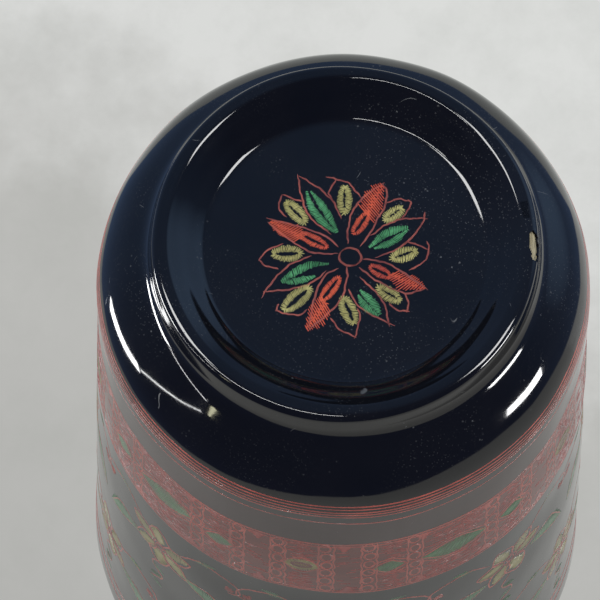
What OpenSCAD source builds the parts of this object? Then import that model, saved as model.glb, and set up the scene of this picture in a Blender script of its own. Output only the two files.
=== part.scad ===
// Lacquered cup of coiled bamboo, upright on its foot ring.
// Origin: centre of the foot ring's resting plane. +Z points out of the mouth. Millimetres.
// Every profile below is (radius, height) and is turned about Z.
// A depth is measured from the finished surface into the wall.

/* [Overall] */
// Height from the resting plane to the top of the lip
cup_h = 118; // [100:1:135]
// Full thickness of the side wall, coats and core together
wall_t = 3.3; // [3.2:0.1:3.6]
// Lean of the side wall away from vertical, in degrees
wall_lean = 3.75; // [2:0.05:5]
// Outer radius of the side wall where the shoulder has ended
wall_r = 33.75; // [33:0.05:34.5]
// Height at which wall_r is measured
wall_r_z = 18; // [17.5:0.5:19]

/* [Foot] */
// Radius at the middle of the foot ring's crest
crest_r = 24.15; // [23.8:0.05:24.4]
// Width of the crest's flat resting face
crest_flat = 0.3; // [0.2:0.1:0.5]
// Rounding on both sides of the crest
crest_round = 1.3; // [1.2:0.05:1.4]
// Depth of the recess inside the foot ring
recess_d = 3.8; // [3.6:0.1:4]
// Slope of the ring's inner side, in degrees
ring_in_slope = 38; // [36:1:42]
// Radius of the cove where the recess floor turns into the ring
cove_r = 2; // [1:0.25:2.5]
// Slope of the ring's outer side, in degrees
ring_out_slope = 79; // [76:1:82]
// Length of the straight part of the ring's outer side
ring_out_l = 2.5; // [2.2:0.1:2.8]
// Radius of the crease between foot and shoulder
crease_r = 3; // [2.4:0.1:3.4]

/* [Shoulder] */
// Rise of the shoulder where it leaves the foot, in degrees
shoulder_rise = 40; // [38:1:42]
// Radius of the rounded turn from shoulder to side wall
corner_r = 13.75; // [13:0.25:14]

/* [Inside] */
// Height of the inside floor
floor_z = 8; // [7.8:0.1:9]
// Radius of the inside turn from floor to wall
in_corner_r = 9; // [8.5:0.25:10]

/* [Layers] */
// Thickness of each lacquer coat
coat_t = 0.4; // [0.35:0.05:0.5]
// Thickness of the ash and lacquer ground under the outer coat
ground_t = 0.25; // [0.2:0.05:0.3]
// Thickness of the bamboo strips in the wall
strip_t = 1.8; // [1.6:0.05:1.9]
// Thickness of the coiled base disc
disc_t = 1.8; // [1.6:0.1:1.8]
// Putty-filled gap between neighbouring hoops
hoop_gap = 0.2; // [0.1:0.05:0.3]
// Number of hoops in the side wall
wall_hoop_count = 24; // [12:1:30]
// Number of hoops round the shoulder's turn
corner_hoop_count = 4; // [3:1:6]
// Height of the rim hoop
rim_hoop_h = 4; // [3:0.5:6]
// Distance that the black coat comes down inside the lip
lip_down = 2; // [1:0.5:4]

/* [Incised lines] */
// Depth of every incised and filled pocket
inlay_d = 0.2; // [0.15:0.05:0.25]
// Width of an incised line
line_w = 0.3; // [0.25:0.05:0.4]
// Height of the lowest of the fine shoulder lines
line_z = 13.1; // [12.8:0.1:13.2]
// Number of fine lines in the shoulder group
line_count = 5; // [3:1:6]
// Spacing of the fine lines
line_step = 0.7; // [0.5:0.05:0.7]
// Height of the single line above the group
single_line_z = 18.1; // [17.6:0.1:19]
// Distance from the lip down to the first of the rim lines
rim_line_drop = 7; // [6:0.5:9]

/* [Panel band] */
// Lower edge of the panel band
band_z0 = 26; // [25:0.5:28]
// Upper edge of the panel band
band_z1 = 45; // [43:0.5:46]
// Number of times that the band's pattern repeats round the cup
unit_count = 5; // [4:1:5]
// Length of the large green oval, measured round the cup
oval_l = 10; // [7:0.5:10]
// Height of the large green oval
oval_w = 5.2; // [3:0.2:6]
// Length of the yellow oval
heart_l = 5.4; // [4.8:0.2:5.4]
// Height of the yellow oval
heart_w = 4.2; // [3:0.2:4.6]
// Length of the small green oval between the two
lens_l = 4; // [3.4:0.2:4]
// Height of the small green oval
lens_w = 3.6; // [2.4:0.2:3.8]
// Hatched ground left and right of each oval
panel_margin = 1; // [0.6:0.1:1]

/* [Field] */
// Number of sprays in one row of the field
spray_count = 8; // [6:1:8]
// Number of rows of sprays
row_count = 2; // [1:1:2]
// Height of the centre of the lowest row
row_z = 61; // [60:0.5:63]
// Distance between the rows
row_step = 29; // [26:0.5:30]
// Radius of the yellow heart of a spray
heart_r = 4.2; // [3:0.1:5]
// Length of a leaf
leaf_l = 10; // [8:0.5:11]
// Width of a leaf
leaf_w = 3.6; // [2.5:0.1:4.5]

/* [Base flower] */
// Shift of the hand-placed flower from the axis, along X
flower_x = 0.8; // [0:0.1:1.5]
// Shift of the hand-placed flower from the axis, along Y
flower_y = 1.2; // [0:0.1:1.5]
// Number of petals, a multiple of four
petal_count = 16; // [12:4:16]
// Radius of the small ring at the flower's heart
flower_ring_r = 1.5; // [1.2:0.1:1.8]
// Radius at which the long petals start
long_start = 2.4; // [2.2:0.1:2.8]
// Radius that the long petals reach
long_end = 11.4; // [11:0.1:12]
// Width of a long petal
long_w = 3; // [2.6:0.1:3.1]
// Radius at which the short petals between them start
short_start = 5.6; // [5.2:0.1:6]
// Radius that the short petals reach
short_end = 10.4; // [9.8:0.1:11]
// Width of a short petal
short_w = 2.2; // [1.8:0.1:2.3]

/* [Chip] */
// Radius of the ball that shapes the chip in the foot ring's outer edge
chip_r = 3.4; // [3:0.1:3.8]
// Depth of the chip, just past the foot hoop's surface
chip_d = 0.7; // [0.65:0.05:0.8]

/* [Hidden] */
$fn = 128;

arc_steps = 10;
cut_proud = 1;
half_t = wall_t / 2;
core_out = coat_t + ground_t;
core_in = core_out + strip_t;
wall_b = 90 - wall_lean;
hoop_r0 = crest_r - 1.5;
hoop_r1 = crest_r + 1.4;
disc_z = recess_d + core_out;
disc_top = disc_z + disc_t;
line_zs = concat([for (i = [0:line_count - 1]) line_z + i * line_step], [single_line_z]);
rim_zs = [for (d = [0, 0.9, 4, 4.9]) cup_h - rim_line_drop - d];
unit_pitch = 360 / unit_count;
// Places of the three kinds of oval, as shares of one unit of the band.
big_at = [0.854];
heart_at = [0.354];
lens_at = [0.076, 0.632];
spray_pitch = 360 / spray_count;
petal_pitch = 360 / petal_count;

// Outward normal and upward tangent of the outer skin; b is the angle from straight down.
function normal(b) = [sin(b), -cos(b)];
function along(b) = [cos(b), sin(b)];
function dot(a, b) = a[0] * b[0] + a[1] * b[1];
function bulge(c, r, b0, b1) = [for (i = [0:arc_steps]) c + r * normal(b0 + (b1 - b0) * i / arc_steps)];
function hollow(c, r, b0, b1) = [for (i = [0:arc_steps]) c - r * normal(b0 + (b1 - b0) * i / arc_steps)];
function flip(list) = [for (i = [len(list) - 1:-1:0]) list[i]];
// Point where the lines dot(p, normal(b0)) = k0 and dot(p, normal(b1)) = k1 cross.
function meet(b0, k0, b1, k1) = let (d = sin(b1 - b0))
    [(k1 * cos(b0) - k0 * cos(b1)) / d, (k1 * sin(b0) - k0 * sin(b1)) / d];

// Centres of the profile's arcs.
crest_in_c = [crest_r - crest_flat / 2, crest_round];
crest_out_c = [crest_r + crest_flat / 2, crest_round];
ring_in = crest_in_c + crest_round * normal(-ring_in_slope);
cove_c = let (z = recess_d - cove_r, end_z = z + cove_r * cos(ring_in_slope))
    [ring_in[0] - (end_z - ring_in[1]) / tan(ring_in_slope) - cove_r * sin(ring_in_slope), z];
crease_c = crest_out_c + (crest_round + crease_r) * normal(ring_out_slope)
    + ring_out_l * along(ring_out_slope);
wall_k = dot([wall_r, wall_r_z], normal(wall_b));
shoulder_k = dot(crease_c, normal(shoulder_rise)) - crease_r;
corner_c = meet(shoulder_rise, shoulder_k - corner_r, wall_b, wall_k - corner_r);
lip_c = let (z = cup_h - half_t) [(wall_k - half_t + z * cos(wall_b)) / sin(wall_b), z];
in_corner_c = let (z = floor_z + in_corner_r)
    [(wall_k - wall_t - in_corner_r + z * cos(wall_b)) / sin(wall_b), z];

// Point on the straight part of the shoulder, at depth t and s along it from the crease.
function shoulder(t, s) = crease_c - (crease_r + t) * normal(shoulder_rise) + s * along(shoulder_rise);
shoulder_l = norm(corner_c + corner_r * normal(shoulder_rise) - shoulder(0, 0));
// Point on the side wall at depth t and height z.
function wall(t, z) = [(wall_k - t + z * cos(wall_b)) / sin(wall_b), z];

// Outer skin at depth t, from the axis to the start of the straight side wall.
function skin(t) = concat([[0, recess_d + t]], hollow(cove_c, cove_r + t, 0, -ring_in_slope),
    bulge(crest_in_c, crest_round - t, -ring_in_slope, 0),
    bulge(crest_out_c, crest_round - t, 0, ring_out_slope),
    hollow(crease_c, crease_r + t, ring_out_slope, shoulder_rise),
    bulge(corner_c, corner_r - t, shoulder_rise, wall_b));
// Inside skin at depth t, from the axis to the start of the straight side wall.
function inner_skin(t) = concat([[0, floor_z - t]], bulge(in_corner_c, in_corner_r + t, 0, wall_b));
function lip(t, b0, b1) = bulge(lip_c, half_t - t, b0, b1);
function lip_end(t) = lip_c + (half_t - t) * normal(wall_b + 180) - lip_down * along(wall_b);

// One hoop of the core between two stations, each a pair of points at the core's two depths.
module hoop(a, b) {
    cut = hoop_gap / 2;
    u = cut * (b[0] - a[0]) / norm(b[0] - a[0]);
    v = cut * (b[1] - a[1]) / norm(b[1] - a[1]);
    polygon([a[0] + u, b[0] - u, b[1] - v, a[1] + v]);
}
function turn_station(b) = [for (t = [core_out, core_in]) corner_c + (corner_r - t) * normal(b)];
function wall_station(s) = [for (p = turn_station(wall_b)) p + s * along(wall_b)];
wall_start_z = corner_c[1] - corner_r * cos(wall_b);
core_l = (lip_c[1] - wall_start_z) / sin(wall_b);
hoop_l = (core_l - rim_hoop_h) / wall_hoop_count;

// The disc's slanted edge rests on the first shoulder hoop; lap lets it bite in by that much.
module base_disc_2d(lap = 0) {
    edge = shoulder(core_in - lap, 0);
    function reach(z) = edge[0] + (z - edge[1]) / tan(shoulder_rise);
    polygon([[0, disc_z], [reach(disc_z), disc_z], [reach(disc_top), disc_top], [0, disc_top]]);
}
// The foot hoop's lower edges follow the ring's sides at the core's depth.
module foot_hoop_2d() {
    intersection() {
        translate([hoop_r0, 0]) square([hoop_r1 - hoop_r0, disc_z]);
        polygon(concat(skin(core_out), [[corner_c[0], 2 * disc_z], [0, 2 * disc_z]]));
    }
}
module shoulder_hoops_2d() {
    hoop([shoulder(core_out, 0), shoulder(core_in, 0)], turn_station(shoulder_rise));
    step = (wall_b - shoulder_rise) / corner_hoop_count;
    for (i = [0:corner_hoop_count - 1])
        hoop(turn_station(shoulder_rise + i * step), turn_station(shoulder_rise + (i + 1) * step));
}
module wall_hoops_2d() {
    for (i = [0:wall_hoop_count - 1])
        hoop(wall_station(i * hoop_l), wall_station((i + 1) * hoop_l));
}
module rim_hoop_2d() {
    hoop(wall_station(core_l - rim_hoop_h), wall_station(core_l));
}
// The whole core, cut from the ground. The small lap leaves no film between disc and hoop.
module core_2d() {
    base_disc_2d(0.05);
    foot_hoop_2d();
    shoulder_hoops_2d();
    wall_hoops_2d();
    rim_hoop_2d();
}

// Line through the middle of the core that parts the outer ground from the inner one.
split = [[0, disc_z + disc_t / 2], shoulder(core_in + 0.4, 1), shoulder(half_t, 1),
    each bulge(corner_c, corner_r - half_t, shoulder_rise, wall_b), lip_c];

module base_disc() {
    color("burlywood") rotate_extrude() base_disc_2d();
}
module foot_hoop() {
    color("tan") rotate_extrude() foot_hoop_2d();
}
module shoulder_hoops() {
    color("burlywood") rotate_extrude() shoulder_hoops_2d();
}
module wall_hoops() {
    color("burlywood") rotate_extrude() wall_hoops_2d();
}
module rim_hoop() {
    color("tan") rotate_extrude() rim_hoop_2d();
}

// Missing flake of coat and ground that bares the foot hoop.
module chip() {
    c = crest_out_c + (crest_round + chip_r - chip_d) * normal(50);
    translate([c[0], 0.3, c[1]]) sphere(r = chip_r);
}
module outer_ground() {
    color("dimgray") difference() {
        rotate_extrude() difference() {
            polygon(concat(skin(coat_t), lip(coat_t, wall_b, 180), flip(split)));
            core_2d();
        }
        chip();
    }
}
module inner_ground() {
    color("dimgray") rotate_extrude() difference() {
        polygon(concat(inner_skin(coat_t), [lip_end(coat_t)], lip(coat_t, wall_b + 180, 180),
            flip(split)));
        core_2d();
    }
}
module inner_lacquer() {
    color([0.45, 0.09, 0.05]) rotate_extrude()
        polygon(concat(inner_skin(0), [lip_end(0), lip_end(coat_t)], flip(inner_skin(coat_t))));
}

// Point at depth t and height z of the side wall, or of the rounded turn just below it.
function side(t, z) = z > wall_start_z ? wall(t, z)
    : corner_c + (corner_r - t) * normal(acos((corner_c[1] - z) / corner_r));
// Ring of the side's outermost layer between two heights. A cutter stands proud of the surface.
module layer(z0, z1, proud = 0) {
    rotate_extrude()
        polygon([side(-proud, z0), side(-proud, z1), side(inlay_d, z1), side(inlay_d, z0)]);
}
module line_rings(zs, proud = 0) {
    for (z = zs) layer(z - line_w / 2, z + line_w / 2, proud);
}
// Pointed oval of length l along Y and width w, centred on the origin.
module oval(l, w) {
    r = (l * l + w * w) / (4 * w);
    intersection() {
        translate([r - w / 2, 0]) circle(r = r);
        translate([w / 2 - r, 0]) circle(r = r);
    }
}
// Stands a flat outline up so that it faces outward through the wall at azimuth az and height z.
module through_wall(az, z) {
    rotate([0, 0, az]) translate([wall_r - 8, 0, z]) rotate([90, 0, 90])
        linear_extrude(height = 24) children();
}

// Stands children at the given shares of every unit of the band, from height z up.
module at_cells(shares, z) {
    for (i = [0:unit_count - 1], share = shares)
        through_wall((i + share) * unit_pitch, z) children();
}
module panel_ovals(shares, l, w) {
    at_cells(shares, (band_z0 + band_z1) / 2) rotate([0, 0, 90]) oval(l, w);
}
module green_ovals() {
    panel_ovals(big_at, oval_l, oval_w);
    panel_ovals(lens_at, lens_l, lens_w);
}
module yellow_ovals() {
    panel_ovals(heart_at, heart_l, heart_w);
}
module cells(shares, l) {
    half_w = l / 2 + panel_margin;
    at_cells(shares, band_z0) translate([-half_w, 0]) square([2 * half_w, band_z1 - band_z0]);
}
module panels(proud = 0) {
    difference() {
        intersection() {
            layer(band_z0 + 1, band_z1 - 1, proud);
            union() {
                cells(big_at, oval_l);
                cells(heart_at, heart_l);
                cells(lens_at, lens_l);
            }
        }
        green_ovals();
        yellow_ovals();
    }
}
module panel_ground() {
    color([0.62, 0.2, 0.14]) {
        line_rings([band_z0, band_z1]);
        panels();
    }
}
module panel_green() {
    color([0.2, 0.52, 0.34]) intersection() {
        layer(band_z0, band_z1);
        green_ovals();
    }
}
module panel_yellow() {
    color([0.68, 0.62, 0.3]) intersection() {
        layer(band_z0, band_z1);
        yellow_ovals();
    }
}

// Places children at every spray, with alternate rows set half a pitch round.
module at_sprays(turn = 0, rise = 0) {
    for (row = [0:row_count - 1], i = [0:spray_count - 1])
        through_wall((i + row / 2) * spray_pitch + turn, row_z + row * row_step + rise) children();
}
module spray_rings() {
    at_sprays() difference() {
        circle(r = heart_r + 1.4);
        circle(r = heart_r + 1.4 - line_w);
    }
}
module spray_hearts() {
    at_sprays() circle(r = heart_r);
}
module spray_leaves() {
    for (side = [-1, 1]) at_sprays(turn = side * spray_pitch * 0.28, rise = 7)
        rotate([0, 0, side * 35]) oval(leaf_l, leaf_w);
}
module field_zone(proud = 0) {
    layer(band_z1 + 2, cup_h - 9, proud);
}
module field_outlines() {
    color([0.7, 0.26, 0.18]) intersection() {
        field_zone();
        spray_rings();
    }
}
module field_hearts() {
    color([0.68, 0.62, 0.3]) intersection() {
        field_zone();
        spray_hearts();
    }
}
module field_leaves() {
    color([0.2, 0.52, 0.34]) intersection() {
        field_zone();
        spray_leaves();
    }
}
module shoulder_lines() {
    color([0.75, 0.3, 0.2]) line_rings(line_zs);
}
module rim_lines() {
    color([0.75, 0.3, 0.2]) line_rings(rim_zs);
}

// Places children at every fourth petal of the base flower, from petal number first.
module at_petals(first, step = 4) {
    translate([flower_x, flower_y]) for (i = [first:step:petal_count - 1])
        rotate([0, 0, 17 + i * petal_pitch]) children();
}
// Petal lying along +X from the flower's centre; inset shrinks it all round.
module petal(start, end, w, inset = 0) {
    tip = 1.6 * inset;
    translate([(start + end) / 2, 0]) rotate([0, 0, 90]) oval(end - start - 2 * tip, w - 2 * inset);
}
module petal_line(start, end, w) {
    difference() {
        petal(start, end, w);
        petal(start, end, w, line_w);
    }
}
module flower_lines_2d() {
    at_petals(0, 2) petal_line(long_start, long_end, long_w);
    at_petals(1, 2) petal_line(short_start, short_end, short_w);
    translate([flower_x, flower_y]) difference() {
        circle(r = flower_ring_r);
        circle(r = flower_ring_r - line_w);
    }
}
// Colour patches inside the petals.
module long_patches_2d(first) {
    at_petals(first) petal(long_start, long_end, long_w, 2 * line_w);
}
module short_patches_2d() {
    at_petals(1, 2) petal(short_start, short_end, short_w, 1.7 * line_w);
}
module inlay() {
    translate([0, 0, recess_d]) linear_extrude(height = inlay_d) children();
}
module flower_outlines() {
    color([0.75, 0.35, 0.28]) inlay() flower_lines_2d();
}
module flower_red() {
    color([0.85, 0.33, 0.18]) inlay() long_patches_2d(0);
}
module flower_green() {
    color([0.25, 0.6, 0.4]) inlay() long_patches_2d(2);
}
module flower_yellow() {
    color([0.68, 0.64, 0.33]) inlay() short_patches_2d();
}

// The coat is cut first to the shell, then by every pocket that an inlay fills.
module outer_lacquer() {
    color([0.05, 0.055, 0.08]) difference() {
        rotate_extrude() polygon(concat(skin(0), lip(0, wall_b, wall_b + 180),
            [lip_end(0), lip_end(coat_t)], lip(coat_t, wall_b + 180, wall_b), flip(skin(coat_t))));
        chip();
        line_rings(concat(line_zs, rim_zs, [band_z0, band_z1]), cut_proud);
        intersection() {
            layer(band_z0, band_z1, cut_proud);
            union() {
                green_ovals();
                yellow_ovals();
            }
        }
        panels(cut_proud);
        intersection() {
            field_zone(cut_proud);
            union() {
                spray_rings();
                spray_hearts();
                spray_leaves();
            }
        }
        inlay() {
            flower_lines_2d();
            long_patches_2d(0);
            long_patches_2d(2);
            short_patches_2d();
        }
    }
}

base_disc();
foot_hoop();
shoulder_hoops();
wall_hoops();
rim_hoop();
outer_ground();
inner_ground();
outer_lacquer();
inner_lacquer();
shoulder_lines();
rim_lines();
panel_ground();
panel_green();
panel_yellow();
field_outlines();
field_hearts();
field_leaves();
flower_outlines();
flower_red();
flower_green();
flower_yellow();
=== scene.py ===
"""Incised black lacquer cup: the looks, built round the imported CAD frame."""
import math

import bpy
import numpy as np
from mathutils import Matrix, Vector

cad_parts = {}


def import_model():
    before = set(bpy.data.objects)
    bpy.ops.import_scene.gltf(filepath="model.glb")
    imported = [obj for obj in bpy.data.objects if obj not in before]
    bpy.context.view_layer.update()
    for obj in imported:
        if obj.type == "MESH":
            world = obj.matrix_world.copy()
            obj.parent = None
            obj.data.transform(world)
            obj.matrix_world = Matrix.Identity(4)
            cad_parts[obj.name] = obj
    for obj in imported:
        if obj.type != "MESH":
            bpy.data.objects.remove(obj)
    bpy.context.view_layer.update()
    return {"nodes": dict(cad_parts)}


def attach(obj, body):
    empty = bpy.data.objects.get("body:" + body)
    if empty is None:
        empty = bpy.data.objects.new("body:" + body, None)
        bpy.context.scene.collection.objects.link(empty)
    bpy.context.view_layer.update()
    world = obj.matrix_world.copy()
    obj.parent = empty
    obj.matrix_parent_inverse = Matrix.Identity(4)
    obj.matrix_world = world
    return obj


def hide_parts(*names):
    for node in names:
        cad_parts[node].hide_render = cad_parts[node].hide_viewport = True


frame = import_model()
chance = np.random.default_rng(7)

MM = 0.001

# ---------------------------------------------------------------- dimensions
# Millimetres, the same driving dimensions as the CAD model. Only the crease under the foot ring is
# softer here, with 5 mm for 3 mm, and the ring's straight side is shorter to match. A name in _B is
# the angle of a skin's outward normal from straight down.
CUP_H = 118.0
WALL_T = 3.3
WALL_B = math.radians(90 - 3.75)
WALL_R, WALL_R_Z = 33.75, 18.0
CREST_R, CREST_FLAT, CREST_ROUND = 24.15, 0.3, 1.3
RECESS_D = 3.8
RING_IN_B = math.radians(-38)
COVE_R = 2.0
RING_OUT_B = math.radians(79)
RING_OUT_L = 1.79
CREASE_R = 5.0
SHOULDER_B = math.radians(40)
CORNER_R = 13.75
FLOOR_Z = 8.0
IN_CORNER_R = 9.0
COAT_T = 0.4
LIP_DOWN = 2.0
LINE_W = 0.3
LINE_Z, LINE_STEP, LINE_COUNT = 13.1, 0.7, 5
SINGLE_LINE_Z = 18.1
BAND_Z0, BAND_Z1 = 26.0, 45.0
FLOWER_X, FLOWER_Y = 0.8, 1.2
RIM_LINE_DROPS = (7.0, 7.9, 11.0, 11.9)


# ---------------------------------------------------------------- profile
# b is the angle of the outward normal from straight down, a name in _C is an arc's centre as radius
# and height, and a name in _K is the distance of a straight stretch's line from the origin.
def normal(b):
    """Outward normal, as radius and height."""
    return np.array([math.sin(b), -math.cos(b)])


def along(b):
    """Direction along the skin, a quarter turn on from the normal."""
    return np.array([math.cos(b), math.sin(b)])


def meet(b0, k0, b1, k1):
    """Point where the lines p.normal(b0) = k0 and p.normal(b1) = k1 cross."""
    d = math.sin(b1 - b0)
    return np.array([(k1 * math.cos(b0) - k0 * math.cos(b1)) / d,
                     (k1 * math.sin(b0) - k0 * math.sin(b1)) / d])


def radius_on(k, b, z):
    """Radius at height z of the line p.normal(b) = k."""
    return (k + z * math.cos(b)) / math.sin(b)


CREST_IN_C = np.array([CREST_R - CREST_FLAT / 2, CREST_ROUND])
CREST_OUT_C = np.array([CREST_R + CREST_FLAT / 2, CREST_ROUND])
RING_IN = CREST_IN_C + CREST_ROUND * normal(RING_IN_B)
COVE_END_Z = RECESS_D - COVE_R + COVE_R * math.cos(RING_IN_B)
COVE_C = np.array([
    RING_IN[0] - (COVE_END_Z - RING_IN[1]) / math.tan(-RING_IN_B) + COVE_R * math.sin(RING_IN_B),
    RECESS_D - COVE_R])
CREASE_C = (CREST_OUT_C + (CREST_ROUND + CREASE_R) * normal(RING_OUT_B)
            + RING_OUT_L * along(RING_OUT_B))
WALL_K = float(np.dot([WALL_R, WALL_R_Z], normal(WALL_B)))
SHOULDER_K = float(np.dot(CREASE_C, normal(SHOULDER_B))) - CREASE_R
CORNER_C = meet(SHOULDER_B, SHOULDER_K - CORNER_R, WALL_B, WALL_K - CORNER_R)
HALF_T = WALL_T / 2
LIP_C = np.array([radius_on(WALL_K - HALF_T, WALL_B, CUP_H - HALF_T), CUP_H - HALF_T])
IN_CORNER_C = np.array([
    radius_on(WALL_K - WALL_T - IN_CORNER_R, WALL_B, FLOOR_Z + IN_CORNER_R),
    FLOOR_Z + IN_CORNER_R])
# How many cells part each straight stretch of the two profiles.
RECESS_CELLS, SLOPE_CELLS, RING_CELLS, SHOULDER_CELLS, WALL_CELLS, EDGE_CELLS = 14, 20, 10, 10, 46, 4
IN_FLOOR_CELLS, IN_WALL_CELLS, IN_CORNER_STEP = 10, 60, 0.8


def arc(centre, radius, depth, b0, b1, step, side=1):
    """Points round an arc at a depth. side is 1 for a bulge and -1 for a hollow."""
    n = max(3, int(abs(b1 - b0) * radius / step))
    size = side * radius - depth
    return [(*(centre + size * normal(b)), b) for b in np.linspace(b0, b1, n + 1)]


def between(start, end, b, n):
    """The n - 1 points that part the straight stretch between two profile points into n."""
    p, q = np.array(start[:2]), np.array(end[:2])
    return [(*(p + (q - p) * i / n), b) for i in range(1, n)]


def outer_profile(depth, fine=0.13):
    """Outer skin at a depth, from the middle of the recess over the lip to the lining's edge."""
    floor = [(COVE_C[0] * i / RECESS_CELLS, RECESS_D + depth, 0.0) for i in range(RECESS_CELLS)]
    cove = arc(COVE_C, COVE_R, depth, 0, RING_IN_B, fine, -1)
    crest_in = arc(CREST_IN_C, CREST_ROUND, depth, RING_IN_B, 0, fine)
    crest_out = arc(CREST_OUT_C, CREST_ROUND, depth, 0, RING_OUT_B, fine)
    crease = arc(CREASE_C, CREASE_R, depth, RING_OUT_B, SHOULDER_B, 2 * fine, -1)
    corner = arc(CORNER_C, CORNER_R, depth, SHOULDER_B, WALL_B, 2 * fine)
    lip = arc(LIP_C, HALF_T, depth, WALL_B, WALL_B + math.pi, 2 * fine)
    edge = (*(np.array(lip[-1][:2]) - LIP_DOWN * along(WALL_B)), WALL_B + math.pi)
    points = floor + cove + between(cove[-1], crest_in[0], RING_IN_B, SLOPE_CELLS)
    points += crest_in + crest_out
    points += between(crest_out[-1], crease[0], RING_OUT_B, RING_CELLS) + crease
    points += between(crease[-1], corner[0], SHOULDER_B, SHOULDER_CELLS) + corner
    points += between(corner[-1], lip[0], WALL_B, WALL_CELLS)
    points += lip + between(lip[-1], edge, WALL_B + math.pi, EDGE_CELLS) + [edge]
    return np.array(points)


def inner_profile(depth):
    """Inside skin at a depth, from the middle of the floor up to the coat's edge inside the lip."""
    floor = [(IN_CORNER_C[0] * i / IN_FLOOR_CELLS, FLOOR_Z - depth, 0.0) for i in range(IN_FLOOR_CELLS)]
    corner = arc(IN_CORNER_C, IN_CORNER_R, -depth, 0, WALL_B, IN_CORNER_STEP)
    top = LIP_C + (HALF_T - depth) * normal(WALL_B + math.pi) - LIP_DOWN * along(WALL_B)
    edge = (*top, WALL_B)
    return np.array(floor + corner + between(corner[-1], edge, WALL_B, IN_WALL_CELLS) + [edge])


# ---------------------------------------------------------------- hand-made surface
WAVES, WAVE_SHORT, WAVE_LONG, WAVE_STEEPNESS = 18, 7.0, 30.0, 0.0011
wave_length = chance.uniform(WAVE_SHORT, WAVE_LONG, WAVES)
wave_dir = chance.normal(size=(WAVES, 3))
wave_dir /= np.linalg.norm(wave_dir, axis=1)[:, None]
wave_k = wave_dir * (2 * math.pi / wave_length)[:, None]
wave_phase = chance.uniform(0, 2 * math.pi, WAVES)
wave_size = WAVE_STEEPNESS * wave_length
RIPPLE_H, RIPPLE_PITCH, RIPPLE_FADE_IN, RIPPLE_FADE_OUT = 0.022, 2.3, 1.2, 0.8


def wave(p):
    """Small hand-made unevenness of the lacquer at points p."""
    return (np.sin(p @ wave_k.T + wave_phase) * wave_size).sum(-1)


def ripple(r, z):
    """Turned ripples on the sloping inner side of the foot ring."""
    start = np.clip((r - COVE_C[0]) / RIPPLE_FADE_IN, 0, 1)
    stop = np.clip((CREST_IN_C[0] - r) / RIPPLE_FADE_OUT, 0, 1)
    turn = (r - COVE_C[0]) * 2 * math.pi / RIPPLE_PITCH
    on_foot = z < RECESS_D + 1
    return RIPPLE_H * start * stop * on_foot * np.sin(turn)


def outward(b, azimuth):
    """Outward normals of the skin. b and azimuth are arrays that go together, or a column and a row."""
    return np.stack([np.sin(b) * np.cos(azimuth), np.sin(b) * np.sin(azimuth),
                     -np.cos(b) + 0 * azimuth], -1)


def turned(profile, azimuths, swell=1.0):
    """Grid of points on the uneven skin: a row per profile point and a column per azimuth."""
    r, z, b = (profile[:, i, None] for i in range(3))
    c, s = np.cos(azimuths)[None], np.sin(azimuths)[None]
    base = np.stack([r * c, r * s, z + 0 * c], -1)
    height = swell * wave(base) - ripple(r, z)
    p = base + outward(b, azimuths[None]) * height[..., None]
    p[..., 2] = np.clip(p[..., 2], 0, CUP_H)
    return p


# ---------------------------------------------------------------- meshes
def new_object(name, verts, faces, material, sharp=None):
    """Smooth-shaded object from vertices in millimetres, with edges above sharp degrees kept crisp."""
    mesh = bpy.data.meshes.new(name)
    mesh.from_pydata((np.asarray(verts) * MM).tolist(), [], faces)
    mesh.update()
    mesh.shade_smooth()
    if sharp is not None:
        mesh.set_sharp_from_angle(angle=math.radians(sharp))
    mesh.materials.append(material)
    ob = bpy.data.objects.new(name, mesh)
    bpy.context.scene.collection.objects.link(ob)
    return ob


def closed_shell(name, front, back, azimuths, material, gone=None, swell=1.0):
    """Thin closed shell of revolution between two profiles of the same length, both starting on
    the axis. gone(azimuth, radius, height) says which cells are broken out of it."""
    n_rows, n_cols = len(front), len(azimuths)
    sheets = [turned(p[1:], azimuths, swell=swell).reshape(-1, 3) for p in (front, back)]
    poles = [turned(p[:1], azimuths, swell=swell)[0].mean(0, keepdims=True) for p in (front, back)]
    verts = np.concatenate([sheets[0], sheets[1], poles[0], poles[1]])
    half = len(sheets[0])

    def at(sheet, i, j):
        return sheet * half + i * n_cols + j % n_cols

    broken = np.zeros((n_rows - 2, n_cols), bool)
    if gone is not None:
        mid = (front[1:-1] + front[2:]) / 2
        mid_az = azimuths + np.diff(azimuths, append=azimuths[0] + 2 * math.pi) / 2
        broken = gone(mid_az[None], mid[:, 0, None], mid[:, 1, None])
    faces = []
    for j in range(n_cols):
        faces.append((2 * half, at(0, 0, j + 1), at(0, 0, j)))
        faces.append((2 * half + 1, at(1, 0, j), at(1, 0, j + 1)))
        faces.append((at(0, n_rows - 2, j), at(0, n_rows - 2, j + 1),
                      at(1, n_rows - 2, j + 1), at(1, n_rows - 2, j)))
    for i in range(n_rows - 2):
        for j in range(n_cols):
            if not broken[i, j]:
                faces.append((at(0, i, j), at(0, i, j + 1), at(0, i + 1, j + 1), at(0, i + 1, j)))
                faces.append((at(1, i + 1, j), at(1, i + 1, j + 1), at(1, i, j + 1), at(1, i, j)))
                continue
            k = (j + 1) % n_cols
            for beyond, a, b in ((broken[i, j - 1], (i + 1, j), (i, j)),
                                 (broken[i, k], (i, k), (i + 1, k)),
                                 (broken[i - 1, j], (i, j), (i, k)),
                                 (broken[i + 1, j], (i + 1, k), (i + 1, j))):
                if not beyond:
                    faces.append((at(0, *a), at(0, *b), at(1, *b), at(1, *a)))
    return new_object(name, verts, faces, material, sharp=35)


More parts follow.
